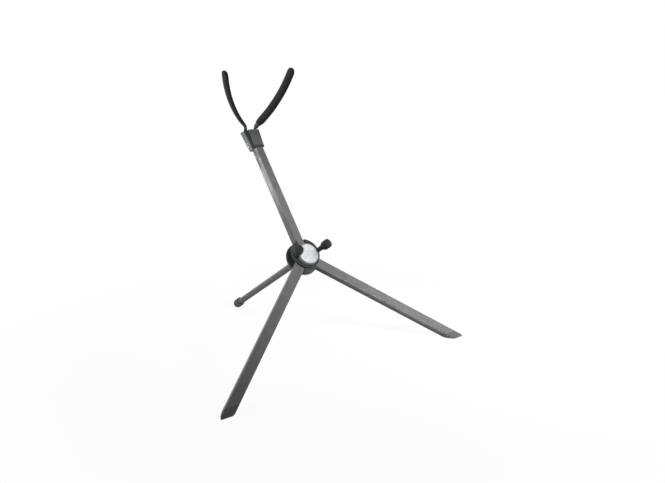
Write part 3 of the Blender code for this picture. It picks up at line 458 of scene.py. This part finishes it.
softened("arm_tube", "arm", TUBE_EDGE, anodised("anodised_arm", up_arm))
paint("arm_lower_plug", black_nylon)
paint("arm_upper_plug", black_nylon)


# Flat legs
# Rectangular extrusions in the arm's finish, sawn square at the hub and parallel to the floor at
# the foot, each with a nylon block inside at its pin and a grey rubber foot plugged into its end.
LEG_SPREAD = math.radians(48.0)
SHOE_EDGE = 1.1 * MM
NOSE_BACK = 2.2 * MM                 # taken off the sharp edge between the outer side and the sole

foot_rubber = moulded_rubber("moulded_rubber_grey", "686a6c", "727476", 0.50, 0.66)
for side_name, side in (("left", -1), ("right", 1)):
    down_leg = hub_frame.to_3x3() @ Vector((side * math.sin(LEG_SPREAD), 0, -math.cos(LEG_SPREAD)))
    leg_finish = anodised("anodised_" + side_name + "_leg", down_leg)
    softened(side_name + "_leg_tube", side_name + "_leg", TUBE_EDGE, leg_finish)
    outer_side = hub_frame.to_3x3() @ Vector((side * math.cos(LEG_SPREAD), 0, math.sin(LEG_SPREAD)))
    nose_way = (outer_side + Vector((0, 0, -1))).normalized()
    nose = max((corner.co for corner in frame["nodes"][side_name + "_leg_foot"].data.vertices),
               key=lambda place: place.dot(nose_way))
    softened(side_name + "_leg_foot", side_name + "_shoe", SHOE_EDGE, foot_rubber,
             blunt=(nose - nose_way * NOSE_BACK, nose_way))
    paint(side_name + "_leg_knuckle", black_nylon)


# Head
# A black front shell and a grey rear shell of nylon, closed round the top of the arm by two screws
# from behind. A grey face plate is let into the front and stops short of the lower edge. The black shell
# round the face is painted shade for the head's dark corners, and the rear shell's pale grey is partly
# painted light for its bright left side.
HEAD_EDGE = 0.45 * MM
HEAD_CORNER = 1.5 * MM
HEAD_CORNER_FROM = 8.5 * MM          # corners lie further out than this
HEAD_CORNER_RUN = 2 * HEAD_CORNER    # and run further forward than this
FACE_EDGE = 0.35 * MM
FACE_CORNER = 0.9 * MM
FACE_SHORT = 1.6 * MM                # bare black shell below the face
FACE_STEPS = 5                       # facets across one of its round corners

# Partly painted light: the rear shell is a pale grey so that its left side shows as lit.
rear_nylon_partly_painted_light = moulded_nylon("moulded_nylon_grey_partly_painted_light", "909295", "9d9fa2")
face_nylon = moulded_nylon("moulded_nylon_face_grey", "717375", "7b7d7f")


def is_head_corner(edge):
    """An outer edge of a head shell that runs forward at one of its four corners."""
    first, last = (hub_frame.inverted() @ corner.co for corner in edge.verts)
    far = min(abs(first.x), abs(last.x)) > HEAD_CORNER_FROM
    return far and abs(first.y - last.y) > HEAD_CORNER_RUN


softened("head_rear_shell", "head_rear", HEAD_EDGE, rear_nylon_partly_painted_light, HEAD_CORNER, is_head_corner)
# Painted shade: the black front shell shows as a dark band round the grey face where the corners are in shade.
softened("head_front_shell", "head_front", HEAD_EDGE, black_nylon)


def rounded_plate(half, low_up, high_up, corner, inset, forward):
    """A ring of points round a rectangle with round corners, at a height out of the front."""
    ring = []
    for sx, sy, start in ((1, 1, 0), (-1, 1, 90), (-1, -1, 180), (1, -1, 270)):
        middle_x = sx * (half - corner)
        middle_up = (high_up if sy > 0 else low_up) - sy * corner
        for i in range(FACE_STEPS + 1):
            turn = math.radians(start + 90 * i / FACE_STEPS)
            reach = corner - inset
            ring.append((middle_x + reach * math.cos(turn), -forward, middle_up + reach * math.sin(turn)))
    return ring


def lofted(rings):
    """A closed body through rings of points that all have the same count."""
    mesh = bmesh.new()
    loops = [[mesh.verts.new(point) for point in ring] for ring in rings]
    for lower, upper in zip(loops[:-1], loops[1:]):
        for i in range(len(lower)):
            j = (i + 1) % len(lower)
            mesh.faces.new((lower[i], lower[j], upper[j], upper[i]))
    mesh.faces.new(loops[0])
    mesh.faces.new(reversed(loops[-1]))
    return mesh


low, high = hub_box("head_face_plate")
rings = [rounded_plate(high[0], low[1] + FACE_SHORT, high[1], FACE_CORNER, 0.0, low[2])]
for angle in (0, 30, 60, 90):
    turn = math.radians(angle)
    rings.append(rounded_plate(high[0], low[1] + FACE_SHORT, high[1], FACE_CORNER,
                               FACE_EDGE * (1 - math.cos(turn)), high[2] - FACE_EDGE * (1 - math.sin(turn))))
keep("head_face", lofted(rings), face_nylon, "hub_and_arm", "head_face_plate", hub_frame)


# Fork
# Two arms forged flat from round steel and powder-coated black, whose round ends turn in the head.
# A soft black sleeve, open towards the head and closed round the tip, is pulled over each.
FORK_PITCH = math.radians(58.8)
FORK_START = 0.0
FORK_FLARE = math.radians(44.0)
FORK_END = math.radians(11.0)
FLARE_LENGTH = 9.0 * MM
SWEEP_LENGTH = 101.0 * MM
FORK_LENGTH = FLARE_LENGTH + SWEEP_LENGTH
SHANK = 2.3 * MM
SHANK_DEPTH = 8.5 * MM
COLLAR = 0.8 * MM
FORGED = 3.2 * MM                    # past the collar, where the bar turns flat
STRIP_THICK = 2.6 * MM
STRIP_WIDE = 11.0 * MM
SLEEVE_THICK = 5.4 * MM
SLEEVE_WIDE = 16.6 * MM
SLEEVE_START = 9.0 * MM
SLEEVE_LIP = 0.8 * MM
SLEEVE_TAPER = 9.0 * MM
SLEEVE_RIM = 0.7 * MM
SLEEVE_WALL_GAP = 0.3 * MM
TIP_COVER = 4.7 * MM                 # rubber past the end of the bar
TIP_THIN = SLEEVE_RIM / 2            # the sleeve is at least this thick at its very tip
SQUARENESS = 2.5                     # 2 is an ellipse; more is flatter on the broad sides
OVAL_POINTS = 32
FORK_STEPS = 64
FORGED_STEPS = 8


def fork_point(length):
    """Place (x, z) and slope at a length up one arm: one arc flares out, the next turns back."""
    bend = (FORK_FLARE - FORK_START) / FLARE_LENGTH
    slope = FORK_START + bend * min(length, FLARE_LENGTH)
    x = (math.cos(FORK_START) - math.cos(slope)) / bend
    z = (math.sin(slope) - math.sin(FORK_START)) / bend
    if length > FLARE_LENGTH:
        bend = (FORK_END - FORK_FLARE) / SWEEP_LENGTH
        slope = FORK_FLARE + bend * (length - FLARE_LENGTH)
        x += (math.cos(FORK_FLARE) - math.cos(slope)) / bend
        z += (math.sin(slope) - math.sin(FORK_FLARE)) / bend
    return x, z, slope


def spread(start, end, count):
    """Evenly spaced lengths, both ends included."""
    return [start + (end - start) * i / count for i in range(count + 1)]


def oval(x, z, slope, thick, wide, side, power=2.0):
    """An oval ring square to the arm: thick in the fork's plane, wide across it."""
    ring = []
    for i in range(OVAL_POINTS):
        a = 2 * math.pi * i / OVAL_POINTS
        out = math.copysign(abs(math.cos(a)) ** (2 / power), math.cos(a)) * thick / 2
        broad = math.copysign(abs(math.sin(a)) ** (2 / power), math.sin(a)) * wide / 2
        ring.append((side * (x + out * math.cos(slope)), broad, z - out * math.sin(slope)))
    return ring


def ease(low, high, share):
    """A smooth step from low to high, as share goes from 0 to 1."""
    share = max(0.0, min(1.0, share))
    return low + (high - low) * share * share * (3 - 2 * share)


def coated_steel(name):
    """Powder coat on steel: black, satin, with the slight orange peel of the cured powder."""
    made, tree = blank(name)
    place = add(tree, "ShaderNodeTexCoord").outputs["Object"]
    tone = cloudy(tree, place, 6.0, "141516", "1c1d1e")
    # Orange peel is about 0.8 mm across, as drawn
    peel = add(tree, "ShaderNodeTexNoise", Vector=place, Scale=scale_for(0.8), Detail=2.0)
    rough = add(tree, "ShaderNodeMapRange", i0=peel.outputs["Fac"], i3=0.36, i4=0.50)
    bump = add(tree, "ShaderNodeBump", Strength=0.3, Distance=0.04 * MM, Height=peel.outputs["Fac"])
    shader = add(tree, "ShaderNodeBsdfPrincipled", Base_Color=tone, IOR=1.5,
                 Roughness=rough.outputs[0], Normal=bump.outputs[0])
    shader.inputs["Specular IOR Level"].default_value = 0.4
    add(tree, "ShaderNodeOutputMaterial", Surface=shader.outputs[0])
    return made


def soft_sleeve(name):
    """Skinned foam rubber: deep matt black, a fine pebble, and a soft sheen at grazing light."""
    made, tree = blank(name)
    place = add(tree, "ShaderNodeTexCoord").outputs["Object"]
    tone = cloudy(tree, place, 5.0, "242526", "303132")
    # The cells under the skin are about 0.3 mm; drawn at 0.6 mm
    cells = add(tree, "ShaderNodeTexVoronoi", Vector=place, Scale=scale_for(0.6))
    pores = add(tree, "ShaderNodeTexNoise", Vector=place, Scale=scale_for(0.35), Detail=2.0)
    rough = add(tree, "ShaderNodeMapRange", i0=pores.outputs["Fac"], i3=0.72, i4=0.88)
    low_bump = add(tree, "ShaderNodeBump", Strength=0.3, Distance=0.06 * MM,
                   Height=cells.outputs["Distance"])
    bump = add(tree, "ShaderNodeBump", Strength=0.3, Distance=0.05 * MM, Height=pores.outputs["Fac"],
               Normal=low_bump.outputs[0])
    shader = add(tree, "ShaderNodeBsdfPrincipled", Base_Color=tone, Roughness=rough.outputs[0],
                 Normal=bump.outputs[0], Sheen_Weight=0.12, Sheen_Roughness=0.5)
    shader.inputs["Specular IOR Level"].default_value = 0.25
    add(tree, "ShaderNodeOutputMaterial", Surface=shader.outputs[0])
    return made


fork_steel = coated_steel("powder_coated_steel")
sleeve_rubber = soft_sleeve("skinned_foam_rubber")
bore_thick = STRIP_THICK + 2 * SLEEVE_WALL_GAP
bore_wide = STRIP_WIDE + 2 * SLEEVE_WALL_GAP
for side_name, side in (("left", -1), ("right", 1)):
    fork_frame = Matrix.Translation(pivots[side_name + "_fork_swivel"])
    fork_frame = fork_frame @ hub_frame.to_3x3().to_4x4() @ Matrix.Rotation(FORK_PITCH, 4, "X")
    rings = [oval(0, -SHANK_DEPTH, 0, 2 * SHANK, 2 * SHANK, side), oval(0, 0, 0, 2 * SHANK, 2 * SHANK, side)]
    for length in spread(COLLAR, COLLAR + FORGED, FORGED_STEPS):
        flat = (length - COLLAR) / FORGED
        thick = ease(2 * SHANK, STRIP_THICK, flat)
        rings.append(oval(*fork_point(length), thick, ease(2 * SHANK, STRIP_WIDE, flat), side))
    for length in spread(COLLAR + FORGED, FORK_LENGTH - TIP_COVER - SLEEVE_WALL_GAP, FORK_STEPS)[1:]:
        rings.append(oval(*fork_point(length), STRIP_THICK, STRIP_WIDE, side))
    keep(side_name + "_fork_strip", lofted(rings), fork_steel, side_name + "_fork",
         side_name + "_fork_arm", fork_frame)

    outer = []
    rim_end = SLEEVE_START + SLEEVE_RIM
    rim_lengths = [rim_end - SLEEVE_RIM * math.cos(math.radians(a)) for a in (0, 20, 40, 60, 80)]
    for length in rim_lengths + spread(rim_end, FORK_LENGTH - SLEEVE_WIDE / 2, FORK_STEPS)[:-1]:
        past_rim = min(1.0, (length - SLEEVE_START) / SLEEVE_RIM)
        rim = SLEEVE_RIM * (1 - math.sqrt(past_rim * (2 - past_rim)))
        share = (length - SLEEVE_START) / SLEEVE_TAPER
        wide = ease(bore_wide + 2 * SLEEVE_LIP, SLEEVE_WIDE, share)
        thick = ease(bore_thick + 2 * SLEEVE_LIP, SLEEVE_THICK, share)
        outer.append(oval(*fork_point(length), thick - rim, wide - rim, side, SQUARENESS))
    for angle in range(0, 90, 9):
        back = SLEEVE_WIDE / 2 * (1 - math.sin(math.radians(angle)))
        wide = SLEEVE_WIDE * math.cos(math.radians(angle))
        close = max(0.0, 1 - back / (SLEEVE_THICK / 2))
        thick = SLEEVE_THICK * math.sqrt(1 - close * close)
        outer.append(oval(*fork_point(FORK_LENGTH - back), max(thick, TIP_THIN), wide, side, SQUARENESS))
    inner = [oval(*fork_point(length), bore_thick, bore_wide, side)
             for length in spread(SLEEVE_START, FORK_LENGTH - TIP_COVER, FORK_STEPS)]
    keep(side_name + "_sleeve", lofted(list(reversed(outer)) + inner), sleeve_rubber,
         side_name + "_fork", side_name + "_fork_sleeve", fork_frame)


# Round leg
# Round aluminium tube in the arm's finish, on a nylon eye that hinges in a folded, powder-coated
# steel bracket. Its rubber foot is pushed on, with a bead at the mouth and a groove behind it.
BRACKET_EDGE = 0.3 * MM
EYE_EDGE = 0.3 * MM
ROD_EDGE = 0.25 * MM
FOOT_BORE = 5.3 * MM
FOOT_BEAD = 0.9 * MM
FOOT_GROOVE = 0.55 * MM
GROOVE_START = 0.4 * FOOT_GROOVE     # its floor starts this far past the bead
GROOVE_END = FOOT_GROOVE             # and ends here
GROOVE_RISE = 2.2 * FOOT_GROOVE      # middle of the rounding behind it, past the bead
FOOT_ROUND = 3.1 * MM
FOOT_END = 3.2 * MM                  # rubber past the end of the tube

eye = pivots["rear_leg_fold"]
rod_middle = sum((corner.co for corner in frame["nodes"]["rear_leg_tube"].data.vertices), Vector())
rod_middle = rod_middle / len(frame["nodes"]["rear_leg_tube"].data.vertices)
rod_way = (rod_middle - eye).normalized()
softened("rear_leg_tube", "rear_rod", ROD_EDGE, anodised("anodised_rod", rod_way))
softened("rear_leg_eye", "rear_eye", EYE_EDGE, black_nylon)
softened("rear_bracket", "rear_hinge", BRACKET_EDGE, fork_steel)

mouth, tip, foot_radius = span("rear_leg_foot", eye, rod_way)
bead_end = mouth + 2 * FOOT_BEAD
groove_floor = foot_radius - FOOT_GROOVE
profile = [(FOOT_BORE, mouth)] + arc(FOOT_BEAD, foot_radius - FOOT_BEAD, mouth + FOOT_BEAD, -90, 60)
profile += [(groove_floor, bead_end + GROOVE_START), (groove_floor, bead_end + GROOVE_END)]
profile += arc(FOOT_GROOVE, groove_floor, bead_end + GROOVE_RISE, -60, 0, steps=3)
profile += arc(FOOT_ROUND, foot_radius - FOOT_ROUND, tip - FOOT_ROUND, 0, 90, steps=10)
profile += [(0, tip), (0, tip - FOOT_END), (FOOT_BORE, tip - FOOT_END)]
keep("rear_shoe", spun(profile, count=64, ring=True), foot_rubber, "rear_leg", "rear_leg_foot",
     along(eye, rod_way))


# Fasteners
# Turned, headed and zinc-plated steel: hinge pin, leg pins, washers, the pegs' studs, bolt and
# nut, and the small screws, whose heads have a hexagon socket.
SOCKET = 1.15 * MM                   # half across the flats
SOCKET_DEPTH = 0.9 * MM
SOCKET_CHAMFER = 0.1 * MM
SCREW_HEAD = 1.5 * MM
SCREW_ROUND = 0.45 * MM
ROUND_MIDDLE = 0.3 * SCREW_ROUND     # how far the middle of the rounding lies inside its corner
SCREW_POINT = 0.3 * MM
END_RIM = 0.1 * MM                   # corners this close to a node's end are on its end face
NEAR_AXIS = 0.5 * MM                 # and those this close to its axis aren't on its rim
PIN_EDGE = 0.25 * MM


def zinc_plated(name):
    """Bright zinc over steel: pale grey, smeared a little by the tumbling drum."""
    made, tree = blank(name)
    place = add(tree, "ShaderNodeTexCoord").outputs["Object"]
    tone = cloudy(tree, place, 3.0, "8d9091", "a5a8a9")
    # Drum marks are about 0.8 mm long, as drawn
    marks = add(tree, "ShaderNodeTexNoise", Vector=place, Scale=scale_for(0.8), Detail=3.0)
    rough = add(tree, "ShaderNodeMapRange", i0=marks.outputs["Fac"], i3=0.30, i4=0.45)
    bump = add(tree, "ShaderNodeBump", Strength=0.2, Distance=0.03 * MM, Height=marks.outputs["Fac"])
    shader = add(tree, "ShaderNodeBsdfPrincipled", Base_Color=tone, Metallic=0.9,
                 Roughness=rough.outputs[0], Normal=bump.outputs[0])
    add(tree, "ShaderNodeOutputMaterial", Surface=shader.outputs[0])
    return made


def socket_screw(node, name, middle, way, material):
    """A screw whose head has a hexagon socket; its node gives its length and its radii."""
    tail, tip, head = span(node, middle, way)
    steps = [corner.co - middle for corner in frame["nodes"][node].data.vertices]
    end_face = [step.cross(way).length for step in steps if step.dot(way) > tip - END_RIM]
    shank = min(reach for reach in end_face if reach > NEAR_AXIS)
    under = tail + SCREW_HEAD
    mesh = bmesh.new()
    count = 48
    shapes = [(SOCKET, tail + SOCKET_DEPTH, True), (SOCKET, tail + SOCKET_CHAMFER, True),
              (SOCKET + SOCKET_CHAMFER, tail, True), (head - SCREW_ROUND, tail, False),
              (head - ROUND_MIDDLE, tail + ROUND_MIDDLE, False), (head, tail + SCREW_ROUND, False),
              (head, under, False), (shank, under, False), (shank, tip - SCREW_POINT, False),
              (shank - SCREW_POINT, tip, False)]
    loops = []
    for radius, height, hexagon in shapes:
        loop = []
        for i in range(count):
            a = 2 * math.pi * i / count
            reach = radius / math.cos(a % (math.pi / 3) - math.pi / 6) if hexagon else radius
            loop.append(mesh.verts.new((reach * math.cos(a), reach * math.sin(a), height)))
        loops.append(loop)
    for lower, upper in zip(loops[:-1], loops[1:]):
        for i in range(count):
            j = (i + 1) % count
            mesh.faces.new((lower[i], lower[j], upper[j], upper[i]))
    mesh.faces.new(loops[0])
    mesh.faces.new(reversed(loops[-1]))
    keep(name, mesh, material, body_of(node), node, along(middle, way))


zinc = zinc_plated("zinc_plated_steel")
softened("rear_hinge_pin", "hinge_pin", PIN_EDGE, zinc)
for node in ["head_screw_1", "head_screw_2"] + [f"bracket_screw_{n}" for n in (1, 2, 3, 4)]:
    low, high = hub_box(node)
    socket_screw(node, node + "_socket", at((low[0] + high[0]) / 2, (low[1] + high[1]) / 2, low[2]),
                 forward_way, zinc)
for side_name in ("left", "right"):
    pivot = pivots[side_name + "_fork_swivel"]
    shank_way = (hub_frame.to_3x3() @ Matrix.Rotation(FORK_PITCH, 3, "X") @ Vector((0, 0, 1))).normalized()
    socket_screw(side_name + "_fork_screw", side_name + "_fork_screw_socket", pivot, shank_way, zinc)
    for node in ("_leg_pin", "_leg_washer", "_peg_stud"):
        paint(side_name + node, zinc)
paint("centre_bolt", zinc)
paint("centre_nut", zinc)


# Floor
# A plain white floor whose own glow grows to full white before its far edge, so no horizon shows.
# Near the stand it is lit for real and keeps the shadow.
FLOOR_REACH = 4.0                    # from its middle to each edge
GLOW_NEAR = 0.93
GLOW_START = 0.25                    # from the floor's middle, where the glow starts to grow
GLOW_END = 0.75                      # and where it is full

floor_mesh = bmesh.new()
bmesh.ops.create_grid(floor_mesh, x_segments=1, y_segments=1, size=FLOOR_REACH)
floor_data = bpy.data.meshes.new("floor")
floor_mesh.to_mesh(floor_data)
floor_mesh.free()
floor = bpy.data.objects.new("floor", floor_data)
bpy.context.scene.collection.objects.link(floor)
floor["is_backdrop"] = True


def seen_directly(tree):
    """One where the camera, a reflection or a see-through piece looks, otherwise nought."""
    rays = add(tree, "ShaderNodeLightPath")
    seen = add(tree, "ShaderNodeMath", {"operation": "MAXIMUM"}, i0=rays.outputs["Is Camera Ray"],
               i1=rays.outputs["Is Glossy Ray"])
    seen = add(tree, "ShaderNodeMath", {"operation": "MAXIMUM"}, i0=seen.outputs[0],
               i1=rays.outputs["Is Transmission Ray"])
    return seen.outputs[0]


white, tree = blank("white_floor")
place = add(tree, "ShaderNodeTexCoord").outputs["Object"]
distance = add(tree, "ShaderNodeVectorMath", {"operation": "LENGTH"}, i0=place)
glow = add(tree, "ShaderNodeMapRange", {"interpolation_type": "SMOOTHSTEP"}, i0=distance.outputs["Value"],
           i1=GLOW_START, i2=GLOW_END, i3=GLOW_NEAR, i4=1.0)
matt = add(tree, "ShaderNodeBsdfDiffuse", Color=linear("5c5c5c"))
light = add(tree, "ShaderNodeEmission", Color=(1, 1, 1, 1), Strength=glow.outputs[0])
both = add(tree, "ShaderNodeAddShader", i0=matt.outputs[0], i1=light.outputs[0])
mixed = add(tree, "ShaderNodeMixShader", i0=seen_directly(tree), i1=matt.outputs[0], i2=both.outputs[0])
add(tree, "ShaderNodeOutputMaterial", Surface=mixed.outputs[0])
floor_data.materials.append(white)


# Light
# The key is a soft box in front, its grid turned towards the right foot, so the light falls off
# to the left. Small ones light the arm and its left edge near the head, a wider one the left
# sides, and a large one without a grid hangs above and behind. The surroundings glow faintly.
SURROUND_GLOW = 0.10

world = bpy.data.worlds.new("studio")
bpy.context.scene.world = world
world.use_nodes = True
tree = world.node_tree
tree.nodes.clear()
soft = add(tree, "ShaderNodeBackground", Color=(1, 1, 1, 1), Strength=SURROUND_GLOW)
full = add(tree, "ShaderNodeBackground", Color=(1, 1, 1, 1), Strength=1.0)
mixed = add(tree, "ShaderNodeMixShader", i0=seen_directly(tree), i1=soft.outputs[0], i2=full.outputs[0])
add(tree, "ShaderNodeOutputWorld", Surface=mixed.outputs[0])


def soft_box(name, place, target, size, watts, grid=180):
    """A square lamp that faces a point; its grid keeps the light within an angle in degrees."""
    lamp = bpy.data.lights.new(name, "AREA")
    lamp.shape = "SQUARE"
    lamp.size = size
    lamp.energy = watts
    lamp.spread = math.radians(grid)
    item = bpy.data.objects.new(name, lamp)
    bpy.context.scene.collection.objects.link(item)
    item.location = place
    item.rotation_euler = (Vector(target) - Vector(place)).to_track_quat("-Z", "Y").to_euler()


soft_box("key", (0.156, -0.723, 0.436), (0.200, 0.086, -0.010), size=0.20, watts=0.62, grid=60)
soft_box("arm_light", (0.0, -0.74, 0.86), (0.0, 0.022, 0.212), size=0.08, watts=0.020, grid=16)
soft_box("arm_edge", (-0.75, 0.10, 0.30), (0.0, 0.046, 0.241), size=0.08, watts=0.024, grid=6)
soft_box("side", (-0.80, 0.05, 0.30), (0.0, 0.0, 0.20), size=0.40, watts=0.38, grid=60)
soft_box("back", (-0.2, 0.90, 0.80), (0.0, 0.0, 0.15), size=0.60, watts=4.0)


low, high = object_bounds()
